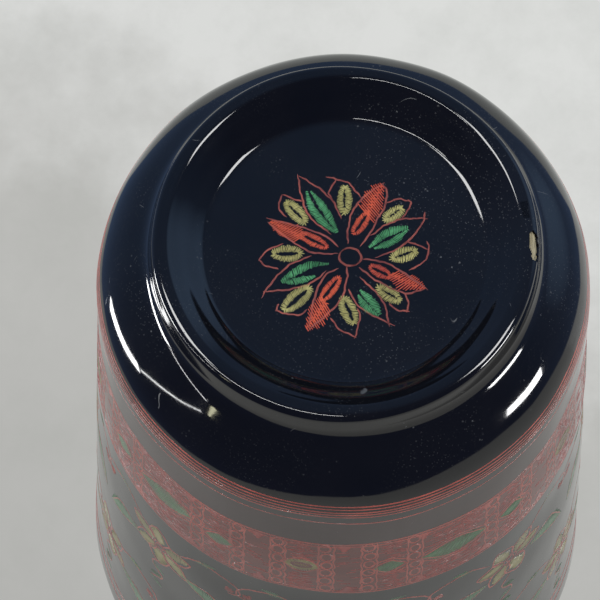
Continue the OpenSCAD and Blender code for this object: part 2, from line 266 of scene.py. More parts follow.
def spread(pitch, fine_pitch, fine_half):
    """Azimuths round the cup, given in degrees and closer together near 0 where the foot is chipped."""
    near = np.arange(-fine_half, fine_half, fine_pitch)
    far = np.linspace(fine_half, 360 - fine_half, int((360 - 2 * fine_half) / pitch), endpoint=False)
    return np.radians(np.concatenate([near, far]))


CHIP_AZ, CHIP_R, CHIP_TOP = math.radians(0.4), 24.98, 1.45
CHIP_HALF_L, CHIP_HALF_W = 2.2, 0.7


def chip_edge(azimuth, radius, height):
    """True inside the ragged chip in the foot ring's outer edge. u runs along the ring, v across it."""
    u = (azimuth - CHIP_AZ) * CREST_R / CHIP_HALF_L
    v = (radius - CHIP_R) / CHIP_HALF_W - 0.35 * u
    ragged = 0.16 * np.sin(9 * u + 1) + 0.12 * np.sin(17 * u - 2 * v)
    return (u * u + np.abs(v) ** 1.6 < 1 + ragged) & (height < CHIP_TOP)


# ---------------------------------------------------------------- strokes
# A stroke's edges lie SINK deep in the skin, and its top stands LIFT proud over most of its width.
SINK, LIFT, TOP_SHARE = 0.02, 0.014, 0.86
SHAKE_PITCH, BLUNT_END = 2.5, 0.25


class Strokes:
    """Gathers hand-drawn strokes as thin, slightly raised closed ribbons."""

    def __init__(self):
        self.verts, self.faces, self.count = [], [], 0

    def add(self, place, points, width):
        """place maps (n, 2) drawing points and a height to (n, 3) points on the cup."""
        points = np.asarray(points, float)
        n = len(points)
        width = np.broadcast_to(np.asarray(width, float), n)
        run = np.gradient(points, axis=0)
        run /= np.maximum(np.linalg.norm(run, axis=1), 1e-9)[:, None]
        side = np.stack([-run[:, 1], run[:, 0]], 1) * width[:, None] / 2
        rails = [place(points + side, -SINK), place(points + side * TOP_SHARE, LIFT),
                 place(points - side * TOP_SHARE, LIFT), place(points - side, -SINK)]
        self.verts.append(np.stack(rails, 1).reshape(-1, 3))
        base = self.count + 4 * np.arange(n - 1)[:, None, None]
        ring = np.array([[k, (k + 1) % 4, 4 + (k + 1) % 4, 4 + k] for k in range(4)])
        self.faces.extend((base + ring[None]).reshape(-1, 4).tolist())
        last = self.count + 4 * (n - 1)
        self.faces.append([self.count + k for k in (3, 2, 1, 0)])
        self.faces.append([last + k for k in (0, 1, 2, 3)])
        self.count += 4 * n

    def build(self, name, material):
        return new_object(name, np.concatenate(self.verts), self.faces, material, sharp=30)


def curve(points, n):
    """Smooth curve through the given points (Catmull-Rom), with n samples between each two."""
    p = np.asarray(points, float)
    p = np.concatenate([[2 * p[0] - p[1]], p, [2 * p[-1] - p[-2]]])
    t = np.linspace(0, 1, n, endpoint=False)[:, None]
    out = []
    for a, b, c, d in zip(p[:-3], p[1:-2], p[2:-1], p[3:]):
        out.append(0.5 * (2 * b + (c - a) * t + (2 * a - 5 * b + 4 * c - d) * t ** 2
                          + (3 * b - a - 3 * c + d) * t ** 3))
    return np.concatenate(out + [p[-2:-1]])


def shaky(points, size):
    """The points with the small drift of a hand-held stylus."""
    points = np.asarray(points, float)
    length = np.concatenate([[0], np.cumsum(np.linalg.norm(np.diff(points, axis=0), axis=1))])
    phase = chance.uniform(0, 2 * math.pi, (2, 2))
    drift = [np.sin(length * 2 * math.pi / SHAKE_PITCH + phase[0, k])
             + 0.6 * np.sin(length * 2 * math.pi / (0.43 * SHAKE_PITCH) + phase[1, k]) for k in (0, 1)]
    return points + size * np.stack(drift, 1)


def stylus(n, width):
    """Width along a stroke of n points: nearly even, thinner at both ends."""
    t = np.linspace(0, 1, n)
    ends = np.clip(np.minimum(t, 1 - t) * 9 + BLUNT_END, 0, 1)
    return width * ends * (1 + 0.12 * np.sin(t * chance.uniform(8, 20) + chance.uniform(0, 6)))


def draw(strokes, place, points, width, shake=0.05, samples=14):
    """One drawn line, through the given points."""
    line = shaky(curve(points, samples), shake)
    strokes.add(place, line, stylus(len(line), width))


def smear(strokes, place, path, widths, pitch=0.22, slant=0.0, mark=0.2, samples=8):
    """A patch of colour made of short strokes side by side across a path. widths are spread evenly
    along the path, pitch parts the strokes, slant leans them and mark is the width of each."""
    line = curve(path, samples)
    run = np.concatenate([[0], np.cumsum(np.linalg.norm(np.diff(line, axis=0), axis=1))])
    where = np.arange(0, run[-1], pitch)
    spine = np.stack([np.interp(where, run, line[:, k]) for k in (0, 1)], 1)
    knots = np.linspace(0, run[-1], len(widths))
    half = np.interp(where, knots, widths) / 2
    tangent = np.gradient(spine, axis=0) if len(spine) > 1 else np.array([[1.0, 0.0]])
    tangent /= np.maximum(np.linalg.norm(tangent, axis=1), 1e-9)[:, None]
    across = np.stack([-tangent[:, 1], tangent[:, 0]], 1) + slant * tangent
    for p, a, h in zip(spine, across, half):
        lo, hi = h * chance.uniform(0.8, 1.2, 2)
        mid = p + chance.normal(0, 0.03, 2)
        strokes.add(place, [p - a * lo, mid, p + a * hi], mark * np.array([0.5, 1, 0.5]))


# ---------------------------------------------------------------- places
def on_recess(points, height):
    """Drawing points on the recess floor as seen from below: x along +X and y along -Y."""
    x, y = FLOWER_X + points[:, 0], FLOWER_Y - points[:, 1]
    base = np.stack([x, y, np.full(len(x), RECESS_D)], 1)
    base[:, 2] -= height + wave(base)
    return base


WALL_START_Z = CORNER_C[1] - CORNER_R * math.cos(WALL_B)


def side_skin(z):
    """Radius and normal angle of the side wall, or of the rounded turn below it, at heights z."""
    turn = np.arccos(np.clip((CORNER_C[1] - z) / CORNER_R, -1, 1))
    b = np.where(z > WALL_START_Z, WALL_B, turn)
    r = np.where(z > WALL_START_Z, radius_on(WALL_K, WALL_B, z),
                 CORNER_C[0] + CORNER_R * np.sin(turn))
    return r, b


def on_wall(azimuth, middle):
    """Drawing points on the side wall: x runs round the cup and y up, from a middle point."""
    scale = float(side_skin(np.array(middle))[0])

    def place(points, height):
        a = azimuth + points[:, 0] / scale
        z = middle + points[:, 1]
        r, b = side_skin(z)
        base = np.stack([r * np.cos(a), r * np.sin(a), z], 1)
        return base + outward(b, a) * (height + wave(base))[:, None]
    return place


# ---------------------------------------------------------------- materials
class Nodes:
    """Short names for building one material or world node tree."""

    def __init__(self, tree):
        self.tree = tree
        tree.nodes.clear()

    def add(self, kind, inputs=None, **settings):
        node = self.tree.nodes.new(kind)
        for key, value in settings.items():
            setattr(node, key, value)
        for key, value in (inputs or {}).items():
            if hasattr(value, "is_output"):
                self.tree.links.new(value, node.inputs[key])
            else:
                node.inputs[key].default_value = value
        return node

    def math(self, operation, *values):
        return self.add("ShaderNodeMath", dict(enumerate(values)), operation=operation).outputs[0]

    def ramp(self, value, stops):
        node = self.add("ShaderNodeValToRGB", {"Fac": value})
        while len(node.color_ramp.elements) < len(stops):
            node.color_ramp.elements.new(0.5)
        for element, (place, colour) in zip(node.color_ramp.elements, stops):
            element.position = place
            element.color = (*colour, 1)
        return node.outputs["Color"]

    def noise(self, where, scale, detail=3.0, roughness=0.55):
        return self.add("ShaderNodeTexNoise", {"Vector": where, "Scale": scale, "Detail": detail,
                                               "Roughness": roughness}).outputs["Fac"]

    def specks(self, where, scale, small, large, where_dense):
        """Round specks in the cells of that scale, fading out where where_dense falls to 0."""
        cell = self.add("ShaderNodeTexVoronoi", {"Vector": where, "Scale": scale})
        return self.math("MULTIPLY", self.between(cell.outputs["Distance"], large, small), where_dense)

    def stretch(self, where, scale):
        return self.add("ShaderNodeMapping", {"Vector": where, "Scale": scale}).outputs["Vector"]

    def between(self, value, low, high, out_low=0.0, out_high=1.0):
        return self.add("ShaderNodeMapRange", {"Value": value, "From Min": low, "From Max": high,
                                               "To Min": out_low, "To Max": out_high}).outputs[0]

    def within(self, height, low, low_full, high_full, high):
        """1 between two heights and fading to 0 beyond them, all given in millimetres."""
        return self.math("MULTIPLY", self.between(height, low * MM, low_full * MM),
                         self.between(height, high * MM, high_full * MM))

    def mix(self, share, a, b):
        node = self.add("ShaderNodeMix", {"Factor": share}, data_type="RGBA")
        for socket, value in ((node.inputs[6], a), (node.inputs[7], b)):
            if hasattr(value, "is_output"):
                self.tree.links.new(value, socket)
            else:
                socket.default_value = (*value, 1)
        return node.outputs[2]


def srgb(r, g, b):
    """Linear colour for display values from 0 to 255."""
    return tuple((c / 255 / 12.92) if c < 11 else ((c / 255 + 0.055) / 1.055) ** 2.4
                 for c in (r, g, b))


def finish_material(n, colour, roughness, bump, strength, distance=0.0001, **sockets):
    """Shader and output of a material. strength and distance (metres) belong to its bump."""
    normal = n.add("ShaderNodeBump", {"Height": bump, "Strength": strength, "Distance": distance})
    inputs = {"Base Color": colour, "Roughness": roughness, "Normal": normal.outputs[0]}
    inputs.update({key.replace("_", " "): value for key, value in sockets.items()})
    shader = n.add("ShaderNodeBsdfPrincipled", inputs)
    n.add("ShaderNodeOutputMaterial", {"Surface": shader.outputs[0]})


def new_material(name):
    """A material, the nodes to build it with and its object coordinates in metres."""
    material = bpy.data.materials.new(name)
    material.use_nodes = True
    n = Nodes(material.node_tree)
    where = n.add("ShaderNodeTexCoord").outputs["Object"]
    return material, n, where


def black_lacquer():
    """Deep black with a worn brownish wall, settled dust, a few hairs and polishing marks."""
    material, n, where = new_material("black_lacquer")
    cloud = n.noise(where, 60, 4)
    body = n.ramp(cloud, [(0.3, (0.0022, 0.0027, 0.004)), (0.7, (0.0052, 0.0052, 0.0065))])
    height = n.add("ShaderNodeSeparateXYZ", {"Vector": where}).outputs["Z"]
    worn = n.within(height, SINGLE_LINE_Z - 1.6, SINGLE_LINE_Z + 0.9, BAND_Z1 - 1.0, BAND_Z1 + 1.0)
    streaks = n.noise(n.stretch(where, (1, 1, 6)), 120, 4)
    worn = n.math("MULTIPLY", worn, n.between(streaks, 0.3, 0.75, 0.35, 0.6))
    body = n.mix(worn, body, srgb(72, 34, 30))
    rubbed = n.within(height, BAND_Z0 - 0.2, BAND_Z0 + 0.6, BAND_Z1 - 0.6, BAND_Z1 + 0.2)
    rubbed = n.math("MULTIPLY", rubbed, n.between(streaks, 0.3, 0.7, 0.45, 0.85))
    body = n.mix(rubbed, body, srgb(126, 46, 36))
    dust = n.specks(where, 900, 0.06, 0.16, n.between(n.noise(where, 130, 2), 0.55, 0.72))
    fine_dust = n.specks(where, 2300, 0.05, 0.25, n.between(n.noise(where, 70, 3), 0.44, 0.66))
    hair = n.math("ABSOLUTE", n.math("SUBTRACT", n.noise(where, 150, 0.0), 0.5))
    hair = n.math("MULTIPLY", n.between(hair, 0.004, 0.001),
                  n.between(n.noise(where, 260, 1), 0.66, 0.7))
    soil = n.math("MAXIMUM", n.math("MAXIMUM", dust, n.math("MULTIPLY", fine_dust, 0.55)), hair)
    body = n.mix(n.math("MULTIPLY", soil, 0.3), body, srgb(150, 152, 150))
    roughness = n.math("ADD", n.between(n.noise(where, 220, 3), 0.35, 0.75, 0.045, 0.1),
                       n.math("MULTIPLY", soil, 0.4))
    fine = n.noise(where, 340, 3)
    finish_material(n, body, roughness, fine, strength=0.12, distance=0.00004, IOR=1.6)
    return material


def red_lining():
    """Red-brown lacquer of the inside."""
    material, n, where = new_material("inner_lacquer")
    cloud = n.noise(where, 45, 4)
    body = n.ramp(cloud, [(0.25, srgb(92, 20, 14)), (0.75, srgb(136, 34, 20))])
    roughness = n.between(n.noise(where, 180, 3), 0.3, 0.8, 0.09, 0.2)
    finish_material(n, body, roughness, n.noise(where, 120, 2), strength=0.15, IOR=1.5)
    return material


WEAR_FROM, WEAR_TO = 8.0, 30.0


def pigment(name, dark, light, wear=0.42):
    """Powdery colour rubbed into the engraved strokes, duller by wear up the handled side wall."""
    material, n, where = new_material(name)
    grain = n.noise(where, 1400, 3, 0.7)
    patch = n.noise(where, 260, 3)
    share = n.between(n.math("ADD", n.math("MULTIPLY", grain, 0.5), patch), 0.55, 0.95)
    body = n.ramp(share, [(0.0, dark), (1.0, light)])
    height = n.add("ShaderNodeSeparateXYZ", {"Vector": where}).outputs["Z"]
    dulled = n.between(height, WEAR_FROM * MM, WEAR_TO * MM, 0.0, wear)
    body = n.mix(dulled, body, srgb(74, 56, 48))
    roughness = n.between(grain, 0.3, 0.8, 0.36, 0.62)
    finish_material(n, body, roughness, grain, strength=0.5, distance=0.00005, IOR=1.5,
                    Coat_Weight=0.6, Coat_Roughness=0.12, Coat_IOR=1.6)
    return material


def bamboo(name, dark, light):
    """Split bamboo with its fibres running round the cup."""
    material, n, where = new_material(name)
    fibres = n.noise(n.stretch(where, (30, 1, 60)), 60, 5, 0.65)
    blotch = n.noise(where, 220, 3)
    share = n.between(n.math("ADD", fibres, n.math("MULTIPLY", blotch, 0.45)), 0.45, 0.95)
    body = n.ramp(share, [(0.0, dark), (1.0, light)])
    finish_material(n, body, n.between(fibres, 0.3, 0.8, 0.5, 0.75), fibres, strength=0.6)
    return material


def ash_ground():
    """Gritty putty of ash and lacquer under the coats."""
    material, n, where = new_material("ash_ground")
    grit = n.noise(where, 1800, 4, 0.7)
    body = n.ramp(grit, [(0.3, srgb(44, 40, 34)), (0.7, srgb(96, 88, 70))])
    finish_material(n, body, n.between(grit, 0.3, 0.7, 0.7, 0.95), grit, strength=0.6)
    return material


LACQUER = black_lacquer()
LINING = red_lining()
OUTLINE_RED = pigment("outline_red", srgb(108, 38, 30), srgb(166, 76, 58))
LINE_RED = pigment("line_red", srgb(164, 52, 38), srgb(214, 90, 70), 0.2)
HATCH_RED = pigment("hatch_red", srgb(148, 38, 30), srgb(196, 66, 50), 0.2)
ORANGE_RED = pigment("orange_red", srgb(172, 48, 18), srgb(228, 86, 32))
GREEN = pigment("green", srgb(26, 102, 50), srgb(84, 174, 106))
YELLOW = pigment("yellow", srgb(140, 132, 62), srgb(196, 188, 108))
BAMBOO = bamboo("bamboo", srgb(104, 92, 60), srgb(196, 184, 146))
GROUND = ash_ground()

# ---------------------------------------------------------------- lacquer shells
azimuths = spread(pitch=1.66, fine_pitch=0.4, fine_half=6.0)
outer_coat = closed_shell("lacquer_coat", outer_profile(0), outer_profile(COAT_T), azimuths,
                          LACQUER, gone=chip_edge)
lining = closed_shell("red_lining", inner_profile(COAT_T), inner_profile(0), azimuths[::2],
                      LINING, swell=0.5)


WOOD_AZ = np.radians(np.arange(-6.5, 7.3, 0.12))
WOOD_STEP, WOOD_TOP_DEPTH, WOOD_BACK_DEPTH = 0.1, 0.34, 0.8


def bare_wood():
    """Torn bamboo surface showing through the chip, its fibres running along the foot ring."""
    skin = outer_profile(0, WOOD_STEP)
    rows = skin[(skin[:, 0] > CREST_R) & (skin[:, 1] < CHIP_TOP + 0.5)]
    grid = turned(rows, WOOD_AZ)
    out = outward(rows[:, 2, None], WOOD_AZ[None])
    s = np.arange(len(rows))[:, None] * WOOD_STEP
    t = WOOD_AZ[None] * CREST_R
    fibre = (0.035 * np.sin(s * 31 + 0.8 * np.sin(t * 1.1)) + 0.03 * np.sin(s * 17 + t * 0.9)
             + 0.02 * np.sin(s * 53 + 2 * t))
    torn = 0.05 * np.sin(t * 2.3 + 3 * np.sin(s * 2)) + fibre
    front = grid - out * (WOOD_TOP_DEPTH - torn)[..., None]
    back = grid - out * WOOD_BACK_DEPTH
    n, m = len(rows), len(WOOD_AZ)
    verts = np.concatenate([front.reshape(-1, 3), back.reshape(-1, 3)])
    faces = []

    def at(sheet, i, j):
        return sheet * n * m + i * m + j

    for i in range(n - 1):
        for j in range(m - 1):
            faces.append((at(0, i, j), at(0, i, j + 1), at(0, i + 1, j + 1), at(0, i + 1, j)))
            faces.append((at(1, i + 1, j), at(1, i + 1, j + 1), at(1, i, j + 1), at(1, i, j)))
    for j in range(m - 1):
        faces.append((at(0, 0, j + 1), at(0, 0, j), at(1, 0, j), at(1, 0, j + 1)))
        faces.append((at(0, n - 1, j), at(0, n - 1, j + 1), at(1, n - 1, j + 1), at(1, n - 1, j)))
    for i in range(n - 1):
        faces.append((at(0, i, 0), at(0, i + 1, 0), at(1, i + 1, 0), at(1, i, 0)))
        faces.append((at(0, i + 1, m - 1), at(0, i, m - 1), at(1, i, m - 1), at(1, i + 1, m - 1)))
    return new_object("bare_bamboo", verts, faces, BAMBOO)


wood = bare_wood()

# ---------------------------------------------------------------- base flower
# Drawn as seen from below: x to the right, y up the picture (frame -Y), from the flower's middle.
lines, reds, greens, yellows = Strokes(), Strokes(), Strokes(), Strokes()


def fill(strokes, path, widths, **more):
    smear(strokes, on_recess, path, widths, **more)


def fill_ring(strokes, start, end, wide, long_share, wide_share, widths):
    """A ring of colour round a bare slit between two points. wide is how wide it lies, and the shares
    say how much of its length and width its middle line takes."""
    start, end = np.array(start), np.array(end)
    middle, half = (start + end) / 2, (end - start) / 2
    across = np.array([-half[1], half[0]]) / np.linalg.norm(half) * wide / 2
    turn = np.linspace(0.2, 2 * math.pi + 0.1, 15)
    ring = (middle + long_share * np.cos(turn)[:, None] * half
            + wide_share * np.sin(turn)[:, None] * across)
    fill(strokes, ring, widths, samples=4, slant=0.3)


def petal_outlines(left, right, width):
    draw(lines, on_recess, left, width)
    draw(lines, on_recess, right, width)


# The heart: two nearly round rings, one just inside the other.
for radius, wobble in ((1.5, 0.3), (1.42, 2.1)):
    turn = np.linspace(wobble, wobble + 2 * math.pi + 0.35, 30)
    draw(lines, on_recess, np.stack([radius * np.cos(turn), 0.87 * radius * np.sin(turn)], 1),
         0.2, 0.03, 2)

# Red petals: two curved outlines, an orange ring near the heart and a hatched outer half.
RED_PETALS = (
    ([(1.6, -0.2), (5.2, -0.9), (10.4, -4.3)], [(1.2, -1.4), (3.5, -3.2), (7.3, -4.9), (10.0, -4.2)],
     [(2.7, -1.3), (5.3, -2.6)], [(5.7, -2.3), (7.6, -3.4), (10.0, -4.2)], (1.6, 2.6, 0.5)),
    ([(-0.4, -1.4), (-0.4, -3.4), (-1.4, -6.6), (-5.3, -10.7)],
     [(-1.6, -1.7), (-3.1, -2.6), (-4.1, -4.4), (-4.7, -6.7), (-5.2, -10.4)],
     [(-1.4, -3.0), (-3.6, -6.3)], [(-3.1, -6.7), (-4.2, -8.4), (-5.5, -10.4)], (2.8, 2.9, 0.7)),
    ([(-1.6, 1.3), (-3.1, 2.7), (-6.4, 4.0), (-11.3, 5.2)],
     [(-1.6, 0.4), (-4.7, 0.4), (-6.4, 1.1), (-8.8, 2.7), (-11.2, 4.7)],
     [(-3.2, 1.3), (-6.7, 3.1)], [(-6.6, 2.6), (-8.8, 3.8), (-11.0, 4.8)], (1.9, 2.4, 0.5)),
    ([(-0.4, 1.8), (-0.4, 4.1), (0.2, 6.8), (1.9, 9.1), (4.3, 11.0)],
     [(1.3, 1.6), (2.7, 3.8), (3.5, 5.7), (4.4, 7.5), (4.6, 9.5), (4.1, 10.9)],
     [(0.4, 3.4), (2.2, 6.4)], [(2.0, 6.3), (2.9, 8.3), (4.1, 10.7)], (2.9, 3.2, 0.8)))
for left, right, ring, patch, widths in RED_PETALS:
    petal_outlines(left, right, 0.27)
    fill(reds, patch, widths, slant=0.5, pitch=0.33, mark=0.22)
    fill_ring(reds, *ring, 1.5, 1.05, 0.7, (0.45, 0.7, 0.45, 0.7, 0.45))
    fill(reds, patch, [0.3 * w for w in widths], slant=-0.4, pitch=0.5)

# Green petals: outlines and a leaf-shaped fill that leaves a bare slit along the middle.
GREEN_PETALS = (
    ([(1.3, -2.8), (3.7, -5.1), (4.8, -6.9), (5.4, -9.7)],
     [(-0.1, -4.5), (1.0, -6.6), (2.9, -8.0), (6.2, -9.6)],
     [(1.5, -4.7), (3.0, -6.2), (4.2, -8.1)], [(1.2, -5.4), (2.2, -7.0), (3.9, -8.2)]),
    ([(-5.1, 0.0), (-8.0, -1.4), (-10.1, -3.7), (-11.6, -6.2)],
     [(-3.1, -2.1), (-5.1, -3.9), (-8.0, -4.9), (-11.4, -5.3)],
     [(-2.9, -1.1), (-5.1, -1.3), (-7.4, -2.5), (-9.1, -3.8)],
     [(-4.6, -2.9), (-7.0, -3.7), (-8.9, -3.9)]),
    ([(-7.4, 11.8), (-6.9, 9.1), (-5.9, 6.1), (-4.4, 4.5), (-2.6, 3.2)],
     [(-7.3, 11.6), (-4.7, 10.0), (-3.1, 8.6), (-2.1, 7.2), (-1.4, 5.4)],
     [(-6.1, 9.2), (-5.2, 6.6), (-3.2, 4.3), (-1.9, 3.4)],
     [(-5.5, 9.3), (-4.0, 7.3), (-2.6, 5.0), (-1.8, 3.5)]),
    ([(2.6, 3.1), (4.5, 4.7), (6.8, 5.7), (10.1, 5.9)],
     [(9.8, 6.9), (9.5, 5.3), (8.1, 3.1), (6.1, 1.3), (3.3, 0.0)],
     [(2.5, 1.5), (4.6, 3.5), (7.6, 4.6)], [(3.2, 1.3), (5.6, 2.4), (7.6, 4.3)]))
for left, right, arm_a, arm_b in GREEN_PETALS:
    petal_outlines(left, right, 0.26)
    fill(greens, arm_a, (0.3, 1.0, 1.1, 0.4), slant=0.3)
    fill(greens, arm_b, (0.3, 1.0, 0.9, 0.3), slant=-0.3)

# Yellow petals: broken outlines beyond a blunt ring of colour round a bare slit.
YELLOW_PETALS = (
    ([(7.4, -5.0), (7.8, -6.2), (7.7, -7.7)], [(5.3, -6.5), (6.4, -7.3), (8.0, -7.5)],
     (3.5, -4.0), (7.0, -6.2), 1.7),
    ([(1.2, -7.3), (1.5, -8.7), (0.9, -11.5)], [(-2.4, -8.7), (-1.1, -10.3), (1.2, -11.4)],
     (-0.9, -5.5), (0.9, -9.7), 2.0),
    ([(-9.6, -7.9), (-8.0, -8.4), (-6.4, -8.4), (-5.4, -7.7)], [(-9.2, -7.0), (-9.6, -8.0)],
     (-4.9, -4.3), (-8.8, -8.1), 2.2),
    ([(-9.0, 1.6), (-11.0, 0.6), (-12.2, -1.0)], [(-12.1, -0.8), (-11.0, -1.7), (-9.4, -2.0)],
     (-6.2, 0.3), (-10.6, 0.1), 2.1),
    ([(-6.7, 7.8), (-9.3, 8.7)], [(-9.3, 8.8), (-9.8, 7.0), (-8.7, 5.4)],
     (-5.9, 4.5), (-9.0, 7.9), 1.8),
    ([(-2.2, 11.3), (-3.0, 9.6), (-3.1, 8.9), (-2.2, 7.5)],
     [(-3.6, 11.5), (-2.3, 11.3), (-0.4, 10.6), (1.2, 8.6)], (-1.0, 5.9), (-1.0, 10.6), 1.7),
    ([(4.6, 8.0), (6.0, 8.6), (7.5, 8.4)], [(7.4, 8.5), (7.9, 7.9), (6.7, 5.7)],
     (4.2, 5.3), (7.0, 7.5), 1.6),
    ([(7.0, 2.0), (7.8, 2.4), (10.2, 1.5)], [(10.1, 2.6), (10.4, 1.3), (9.8, -0.3), (7.8, -1.7)],
     (5.2, -0.1), (9.1, 1.3), 1.8))
for left, right, start, end, wide in YELLOW_PETALS:
    petal_outlines(left, right, 0.24)
    fill_ring(yellows, start, end, wide, 0.86, 0.68, (0.6, 0.9, 0.7, 0.95, 0.7))

flower = [lines.build("flower_outline_strokes", OUTLINE_RED),
          reds.build("flower_red_strokes", ORANGE_RED),
          greens.build("flower_green_strokes", GREEN),
          yellows.build("flower_yellow_strokes", YELLOW)]


# ---------------------------------------------------------------- turned lines
def ring_line(strokes, z, width, drift=0.04):
    """A line run round the whole cup at height z, with a slow waver."""
    around = np.linspace(0, 2 * math.pi, 241)
    scale = float(side_skin(np.array(z))[0])
    phase = chance.uniform(0, 6, 3)
    height = drift * (np.sin(3 * around + phase[0]) + 0.5 * np.sin(11 * around + phase[1]))
    uneven = width * (1 + 0.2 * np.sin(7 * around + phase[2]) + 0.1 * np.sin(31 * around))
    strokes.add(on_wall(0, z), np.stack([around * scale, height], 1), uneven)


shoulder_strokes = Strokes()
for i in range(LINE_COUNT):
    ring_line(shoulder_strokes, LINE_Z + i * LINE_STEP, 0.28)
ring_line(shoulder_strokes, SINGLE_LINE_Z, 0.26)
rim_strokes = Strokes()
for drop in RIM_LINE_DROPS:
    ring_line(rim_strokes, CUP_H - drop, LINE_W)
turned_lines = [shoulder_strokes.build("shoulder_line_strokes", LINE_RED),
                rim_strokes.build("rim_line_strokes", LINE_RED)]

# ---------------------------------------------------------------- panel band
# A unit comes round the cup UNITS times: a big green oval, a yellow heart among columns of beads and
# two green lenses. Their places are shares of the unit, and ovals are a length and a height.
UNITS, BEADS = 5, 6
BIG, HEART, LENSES = 0.854, 0.354, (0.076, 0.632)
BIG_OVAL, LENS_OVAL = (10.0, 5.2), (4.2, 3.6)
BAND_MID = (BAND_Z0 + BAND_Z1) / 2
BAND_H = BAND_Z1 - BAND_Z0
UNIT_L = 2 * math.pi / UNITS * radius_on(WALL_K, WALL_B, BAND_MID)
COLUMNS = [HEART * UNIT_L + side * offset for offset in (3.4, 9.4, 15.9) for side in (-1, 1)]
COLUMN_HALF = 0.95
BARE_OVALS = [(BIG * UNIT_L, 11.2, 6.6), (HEART * UNIT_L, 6.4, 5.2)]
BARE_OVALS += [(share * UNIT_L, 5.0, 4.6) for share in LENSES]
HATCH_STEP, HATCH_FULL, HATCH_THIN, THIN_FROM, THIN_TO = 0.42, 0.92, 0.28, 3.9, 8.9
CORNERS = (BIG * UNIT_L - 5, BIG * UNIT_L + 5, HEART * UNIT_L - 6.3, HEART * UNIT_L + 6.3)

band_lines, band_hatch, band_green, band_yellow = Strokes(), Strokes(), Strokes(), Strokes()
band = on_wall(0, BAND_MID)


def distance_round(x, middle):
    """Signed distance round the band from a place that comes once in each unit."""
    return (x - middle + UNIT_L / 2) % UNIT_L - UNIT_L / 2


def in_oval(x, y, middle, length, height):
    """Below 1 inside the oval of that place and size."""
    return (distance_round(x, middle) / (length / 2)) ** 2 + (y / (height / 2)) ** 2


def hatch_density(x, y):
    """Share of the hatching that is drawn at a place in the band: 0 in ovals and bead columns."""
    if any(in_oval(x, y, *oval) < 1 for oval in BARE_OVALS):
        return 0.0
    if min(abs(distance_round(x, c)) for c in COLUMNS) < COLUMN_HALF:
        return 0.0
    from_heart = abs(distance_round(x, HEART * UNIT_L))
    return HATCH_THIN if THIN_FROM < from_heart < THIN_TO else HATCH_FULL


def hatching():
    """Rows of short uneven marks round the whole band."""
    for y in np.arange(-BAND_H / 2 + 0.5, BAND_H / 2 - 0.3, HATCH_STEP):
        x = chance.uniform(0, 1)
        while x < UNITS * UNIT_L:
            length = chance.uniform(0.9, 1.9)
            ends = [(x, y + chance.normal(0, 0.06)), (x + length, y + chance.normal(0, 0.14))]
            density = min(hatch_density(*ends[0]), hatch_density(x + length, y))
            if chance.random() < density:
                band_hatch.add(band, np.linspace(*ends, 3), 0.24 * np.array([0.5, 1, 0.4]))
            x += length + chance.uniform(0.05, 0.3)


def bead_column(x):
    """Beads, one above the other, between two scalloped lines."""
    for k in range(BEADS):
        middle = np.array([x + chance.normal(0, 0.1),
                           (k + 0.5) * BAND_H / BEADS - BAND_H / 2 + chance.normal(0, 0.12)])
        turn = np.linspace(0.4, 2 * math.pi + 0.7, 13) + chance.uniform(0, 6)
        bead = middle + np.stack([chance.uniform(0.72, 0.88) * np.cos(turn),
                                  chance.uniform(1.15, 1.4) * np.sin(turn)], 1)
        band_lines.add(band, bead, stylus(len(bead), 0.34))
    for side in (-1, 1):
        edge = np.linspace(-BAND_H / 2, BAND_H / 2, 4 * BEADS + 1)
        bulge = 0.22 * np.abs(np.sin((edge / BAND_H + 0.5) * BEADS * math.pi))
        path = np.stack([x + side * (COLUMN_HALF + bulge), edge], 1)
        band_lines.add(band, shaky(path, 0.06), stylus(len(path), 0.24))


def green_oval(x, length, height):
    """A green oval, slightly tilted, inside two pairs of curved outlines."""
    middle = np.array([x, chance.normal(0, 0.3)])
    rise = length * chance.normal(0, 0.05)
    spine = middle + np.array([(-length / 2, -rise), (0, 0), (length / 2, rise)])
    smear(band_green, band, spine, height * np.array([0.06, 0.62, 0.9, 1.0, 0.86, 0.5, 0.05]),
          pitch=0.2, slant=0.35)
    for side in (-1, 1):
        rim = spine + np.array([(-0.4, 0), (0, side * (height / 2 + 0.35)), (0.4, 0)])
        draw(band_lines, band, rim, 0.3)
        rim = spine + np.array([(-1.0, side), (0, side * (height / 2 + 1.1)), (1.0, side * 0.8)])
        draw(band_lines, band, rim, 0.22)


def yellow_heart(x):
    """A yellow ring with a filled middle, between two curved outlines."""
    middle = np.array([x, chance.normal(0, 0.3)])
    turn = np.linspace(0, 2 * math.pi, 17)
    smear(band_yellow, band, middle + np.stack([2.0 * np.cos(turn), 1.5 * np.sin(turn)], 1),
          (0.7, 1.1, 0.8, 1.1, 0.7), samples=4, slant=0.3)
    smear(band_yellow, band, middle + np.array([(-0.9, 0.1), (1.0, -0.1)]), (0.2, 0.5, 0.2))
    for side in (-1, 1):
        rim = middle + np.array([(-3.0, 0.2), (0, side * 2.7), (3.0, -0.2)])
        draw(band_lines, band, rim, 0.26)


def wedges(x):
    """Two hatched wedges that point inward from the band's edges."""
    for side in (-1, 1):
        tip = np.array([x + chance.normal(0, 0.3), side * BAND_H / 2 * 0.94])
        smear(band_hatch, band, [tip, tip - (0, side * 2.2)], (2.4, 0.3), mark=0.28)


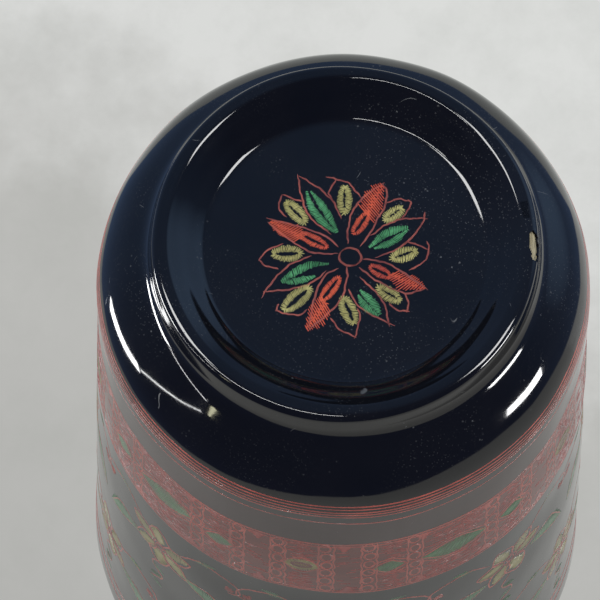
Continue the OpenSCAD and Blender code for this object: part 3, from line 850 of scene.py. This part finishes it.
hatching()
for unit in range(UNITS):
    start = unit * UNIT_L
    for c in COLUMNS:
        bead_column(start + c)
    green_oval(start + BIG * UNIT_L, *BIG_OVAL)
    for share in LENSES:
        green_oval(start + share * UNIT_L, *LENS_OVAL)
    yellow_heart(start + HEART * UNIT_L)
    for corner in CORNERS:
        wedges(start + corner)
for z in (BAND_Z0, BAND_Z1):
    ring_line(band_lines, z, 0.34, 0.1)
for z in (BAND_Z0 + 0.9, BAND_Z1 - 0.9):
    ring_line(band_lines, z, 0.22, 0.12)
band_pieces = [band_lines.build("band_outline_strokes", LINE_RED),
               band_hatch.build("band_hatch_strokes", HATCH_RED),
               band_green.build("band_green_strokes", GREEN),
               band_yellow.build("band_yellow_strokes", YELLOW)]

# ---------------------------------------------------------------- sprays on the side wall
field_lines, field_green, field_yellow = Strokes(), Strokes(), Strokes()
SPRAYS, PETALS = 8, 6
ROWS, ROW_Z, ROW_STEP = 2, 58.0, 29.0


def spray_petal(place, angle):
    """A hatched yellow petal in a red outline."""
    out = np.array([math.cos(angle), 1.15 * math.sin(angle)])
    side = np.array([-out[1], out[0]])
    reach = chance.uniform(5.2, 6.2)
    path = [1.6 * out, 0.62 * reach * out + 0.3 * side, reach * out]
    smear(field_yellow, place, path, (0.8, 2.6, 3.0, 1.2), pitch=0.26, slant=0.4, mark=0.28)
    rim = [1.2 * out + 0.6 * side, 0.6 * reach * out + 1.9 * side, (reach + 0.7) * out,
           0.6 * reach * out - 1.9 * side, 1.2 * out - 0.6 * side]
    draw(field_lines, place, rim, 0.3, samples=7)


def spray_leaves(place, side):
    """On one side, a leaf above and a curling tendril below with a small leaf and a bud."""
    root = np.array([side * 4.6, 3.4])
    tip = root + np.array([side * 8.6, 6.4])
    middle = (root + tip) / 2 + np.array([side * 1.0, -1.2])
    smear(field_green, place, [root, middle, tip], (0.4, 2.9, 3.6, 2.4, 0.3), pitch=0.28,
          slant=0.4 * side, mark=0.3)
    for lean in (-1, 1):
        draw(field_lines, place, [root, middle + (0, 2.3 * lean), tip], 0.26)
    low = np.array([side * 4.2, -4.4])
    draw(field_lines, place, [low, low + (side * 4, -3.4), low + (side * 9, -1.8),
                              low + (side * 10.4, 1.6), low + (side * 8.4, 2.6)], 0.3)
    smear(field_green, place, [low + (side * 3, -2.8), low + (side * 6.4, -4.4)],
          (0.3, 1.7, 0.3), pitch=0.28)
    smear(field_lines, place, [low + (side * 8.2, 0.4), low + (side * 9.2, 2.0)],
          (0.5, 1.8, 0.4), pitch=0.28)


def spray(azimuth, z):
    """A flower head with leaves on both sides and a stem that rises with smaller ones."""
    place = on_wall(azimuth, z)
    turn0 = chance.uniform(0, 2 * math.pi)
    for k in range(PETALS):
        spray_petal(place, turn0 + k * 2 * math.pi / PETALS + chance.normal(0, 0.08))
    for ring in (0.7, 1.3):
        turn = np.linspace(0, 2 * math.pi + 0.3, 16)
        draw(field_lines, place, ring * np.stack([np.cos(turn), np.sin(turn)], 1), 0.26, samples=2)
    for side in (-1, 1):
        spray_leaves(place, side)
    stem = np.array([(0, 6.4), (1.6, 9.6), (-0.6, 13.0), (2.0, 16.0)])
    draw(field_lines, place, stem, 0.3)
    for (x, y), reach in zip(stem[1:], (-2.6, 2.6, -2.6)):
        smear(field_green, place, [(x, y), (x + reach, y + 1.6)], (0.3, 1.5, 0.3), pitch=0.28)


for row in range(ROWS):
    for i in range(SPRAYS):
        spray((i + row / 2) * 2 * math.pi / SPRAYS, ROW_Z + row * ROW_STEP)
field_pieces = [field_lines.build("field_outline_strokes", LINE_RED),
                field_green.build("field_leaf_strokes", GREEN),
                field_yellow.build("field_flower_strokes", YELLOW)]

# ---------------------------------------------------------------- pieces and the frame
REPLACED = {
    outer_coat: ["outer_lacquer"], lining: ["inner_lacquer"],
    flower[0]: ["flower_outlines"], flower[1]: ["flower_red"],
    flower[2]: ["flower_green"], flower[3]: ["flower_yellow"],
    turned_lines[0]: ["shoulder_lines"], turned_lines[1]: ["rim_lines"],
    band_pieces[1]: ["panel_ground"], band_pieces[2]: ["panel_green"],
    band_pieces[3]: ["panel_yellow"], field_pieces[0]: ["field_outlines"],
    field_pieces[1]: ["field_leaves"], field_pieces[2]: ["field_hearts"]}
SLOTS = {"black_lacquer": [outer_coat], "inner_lacquer": [lining], "bamboo": [wood],
         "red_inlay": [flower[0], flower[1], *turned_lines, band_pieces[0], band_pieces[1],
                       field_pieces[0]],
         "green_inlay": [flower[2], band_pieces[2], field_pieces[1]],
         "yellow_inlay": [flower[3], band_pieces[3], field_pieces[2]]}
for slot_name, slot_pieces in SLOTS.items():
    for piece in slot_pieces:
        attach(piece, "root")
for piece, nodes in REPLACED.items():
    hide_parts(*nodes)
for name in ("base_disc", "foot_hoop", "shoulder_hoops", "wall_hoops", "rim_hoop"):
    frame["nodes"][name].data.materials.clear()
    frame["nodes"][name].data.materials.append(BAMBOO)
for name in ("outer_ground", "inner_ground"):
    frame["nodes"][name].data.materials.clear()
    frame["nodes"][name].data.materials.append(GROUND)

# ---------------------------------------------------------------- floor, world and lights
# In metres.
FLOOR_R, FLOOR_FLAT_R, FLOOR_RISE, LIGHT_DISTANCE = 1.5, 0.825, 1.0, 1.5


def floor():
    """Round pale floor that curves up at its edge. It is seen by the camera and from above only."""
    flat = np.linspace(0.02, FLOOR_FLAT_R, 24)
    bend = np.linspace(0, math.pi / 2, 20)
    run = FLOOR_R - FLOOR_FLAT_R
    radius = np.concatenate([flat, FLOOR_FLAT_R + run * np.sin(bend[1:])])
    height = np.concatenate([0 * flat, FLOOR_RISE * (1 - np.cos(bend[1:]))])
    az = np.radians(np.arange(0, 360, 5))
    verts = np.stack([radius[:, None] * np.cos(az), radius[:, None] * np.sin(az),
                      height[:, None] + 0 * az], -1).reshape(-1, 3)
    verts = np.concatenate([verts, [[0, 0, 0]]]) / MM
    rows, m = len(radius), len(az)
    faces = [(i * m + j, (i + 1) * m + j, (i + 1) * m + (j + 1) % m, i * m + (j + 1) % m)
             for i in range(rows - 1) for j in range(m)]
    faces += [(rows * m, j, (j + 1) % m) for j in range(m)]
    material, n, where = new_material("pale_floor")
    cloud = n.noise(where, 3.5, 4)
    colour = n.ramp(cloud, [(0.3, srgb(198, 197, 193)), (0.7, srgb(214, 213, 209))])
    diffuse = n.add("ShaderNodeBsdfPrincipled", {"Base Color": colour, "Roughness": 0.7})
    clear = n.add("ShaderNodeBsdfTransparent")
    back = n.add("ShaderNodeNewGeometry").outputs["Backfacing"]
    both = n.add("ShaderNodeMixShader", {0: back, 1: diffuse.outputs[0], 2: clear.outputs[0]})
    n.add("ShaderNodeOutputMaterial", {"Surface": both.outputs[0]})
    ob = new_object("floor", verts, faces, material)
    for ray in ("glossy", "diffuse", "shadow", "transmission", "volume_scatter"):
        setattr(ob, "visible_" + ray, False)


floor()


def toward(azimuth, elevation):
    """Direction from the cup, for an azimuth and an elevation in degrees."""
    a, e = math.radians(azimuth), math.radians(elevation)
    return Vector((math.cos(e) * math.cos(a), math.cos(e) * math.sin(a), math.sin(e)))


def light(name, azimuth, elevation, wide, tall, radiance, roll=0.0, tint=(1.0, 1.0, 1.0),
          mirrored=True, lit=True):
    """Rectangular light with its place, size and roll in degrees as seen from the cup. The gloss shows
    it where it is mirrored, and it lights matt colour where it is lit."""
    data = bpy.data.lights.new(name, "AREA")
    data.shape = "RECTANGLE"
    data.color = tint
    data.size = 2 * LIGHT_DISTANCE * math.tan(math.radians(wide / 2))
    data.size_y = 2 * LIGHT_DISTANCE * math.tan(math.radians(tall / 2))
    data.energy = radiance * data.size * data.size_y * math.pi
    ob = bpy.data.objects.new(name, data)
    bpy.context.scene.collection.objects.link(ob)
    direction = toward(azimuth, elevation)
    ob.location = direction * LIGHT_DISTANCE
    ob.rotation_euler = (direction.to_track_quat("Z", "Y").to_matrix()
                         @ Matrix.Rotation(math.radians(roll), 3, "Z")).to_euler()
    ob.visible_camera = False
    ob.visible_glossy = mirrored
    ob.visible_diffuse = lit


light("window_left", 179, 18, 30, 4.6, 25, roll=35)
light("window_right", 18, 0, 19, 7, 25, roll=-12)
light("lamp_left", 180, -51, 20, 22, 12, lit=False)
light("lamp_right", 9, -49, 18, 18, 12, lit=False)
light("lamp_strip", 127, -55, 46, 2, 25, roll=19)
light("cord", 156, -6.5, 1.0, 34, 15, roll=-34)
light("lamp_shade", 141, -25, 2.0, 5.5, 9, roll=-40, tint=(1.0, 0.97, 0.66))
light("ceiling", -90, -80, 60, 60, 2.0, mirrored=False)


# The pale part of the world ends where the sum of height and these terms falls to EDGE_AT.
EDGE_X, EDGE_Y, EDGE_XX, EDGE_XY, EDGE_WAVER = 0.156, 0.225, 0.063, 0.098, 0.05
EDGE_AT, EDGE_SOFT = 0.557, 0.02
GLOW_AT = toward(-36, -13)


def world():
    """Pale table above a slanting edge all round, and below it a dark room, bluer behind the cup."""
    w = bpy.data.worlds.new("studio")
    bpy.context.scene.world = w
    w.use_nodes = True
    n = Nodes(w.node_tree)
    where = n.add("ShaderNodeTexCoord").outputs["Generated"]
    x, y, z = n.add("ShaderNodeSeparateXYZ", {"Vector": where}).outputs

    def total(*terms):
        so_far = 0.0
        for factor, value in terms:
            so_far = n.math("ADD", so_far, n.math("MULTIPLY", value, factor))
        return so_far

    waver = n.math("SUBTRACT", n.noise(where, 5, 2), 0.5)
    edge = total((1, z), (EDGE_X, x), (EDGE_Y, y), (EDGE_XX, n.math("MULTIPLY", x, x)),
                 (EDGE_XY, n.math("MULTIPLY", x, y)), (EDGE_WAVER, waver))
    edge = n.math("ADD", edge, n.between(y, -0.55, -0.85, 0.0, 0.46))
    share = n.between(edge, EDGE_AT, EDGE_AT + EDGE_SOFT)
    drift = n.math("SUBTRACT", n.noise(where, 9, 5, 0.6), 0.5)
    marbling = n.math("SUBTRACT", n.noise(where, 40, 5, 0.62), 0.5)
    tone = total((0.35, x), (-1, y), (0.13, drift), (0.06, marbling))
    table = n.ramp(n.between(tone, 0.2, 0.6), [
        (0.1, srgb(180, 180, 177)), (0.42, srgb(189, 189, 186)),
        (0.55, srgb(217, 218, 216)), (1.0, srgb(224, 226, 223))])
    veins = n.between(n.noise(where, 30, 6, 0.7), 0.42, 0.66, 0.0, 0.16)
    table = n.mix(veins, table, srgb(158, 161, 155))
    table = n.mix(n.between(y, -0.5, -0.75, 0.0, 0.45), table, srgb(96, 102, 100))
    dark = n.ramp(n.between(y, -0.4, 0.4), [(0.0, (0.1, 0.155, 0.28)), (1.0, (0.045, 0.055, 0.11))])
    glow = total((GLOW_AT.x, x), (GLOW_AT.y, y), (GLOW_AT.z, z))
    dark = n.mix(n.between(glow, 0.88, 0.98), dark, (0.27, 0.42, 0.68))
    sky = n.add("ShaderNodeBackground", {"Color": n.mix(share, dark, table), "Strength": 1.0})
    n.add("ShaderNodeOutputWorld", {"Surface": sky.outputs[0]})


world()

# ---------------------------------------------------------------- camera
VIEW_UP = math.radians(67.2)
VIEW_ROLL = math.radians(1.83)
DISTANCE = 395.1 * MM
LENS, SENSOR = 180.0, 36.0
FOOT_RIGHT, FOOT_ABOVE = 0.0748, 0.1043


def camera():
    """Camera below the cup. The foot's middle sits right of and above the picture's middle."""
    away = Vector((0, math.cos(VIEW_UP), -math.sin(VIEW_UP)))
    right = Vector((1, 0, 0))
    forward = -away
    down = forward.cross(right)
    c, s = math.cos(VIEW_ROLL), math.sin(VIEW_ROLL)
    view = Matrix(((c, -s, 0), (s, c, 0), (0, 0, 1))) @ Matrix((right, down, forward))
    foot = Vector((FOOT_RIGHT * SENSOR / LENS, -FOOT_ABOVE * SENSOR / LENS, 1))
    view = Vector((0, 0, 1)).rotation_difference(foot).to_matrix() @ view
    axes = Matrix((view[0], -view[1], -view[2])).transposed()
    data = bpy.data.cameras.new("camera")
    data.lens, data.sensor_width = LENS, SENSOR
    data.clip_start = 0.01
    ob = bpy.data.objects.new("camera", data)
    bpy.context.scene.collection.objects.link(ob)
    ob.matrix_world = Matrix.LocRotScale(away * DISTANCE, axes.to_quaternion(), None)
    bpy.context.scene.camera = ob


camera()
bpy.context.scene.view_settings.view_transform = "Standard"
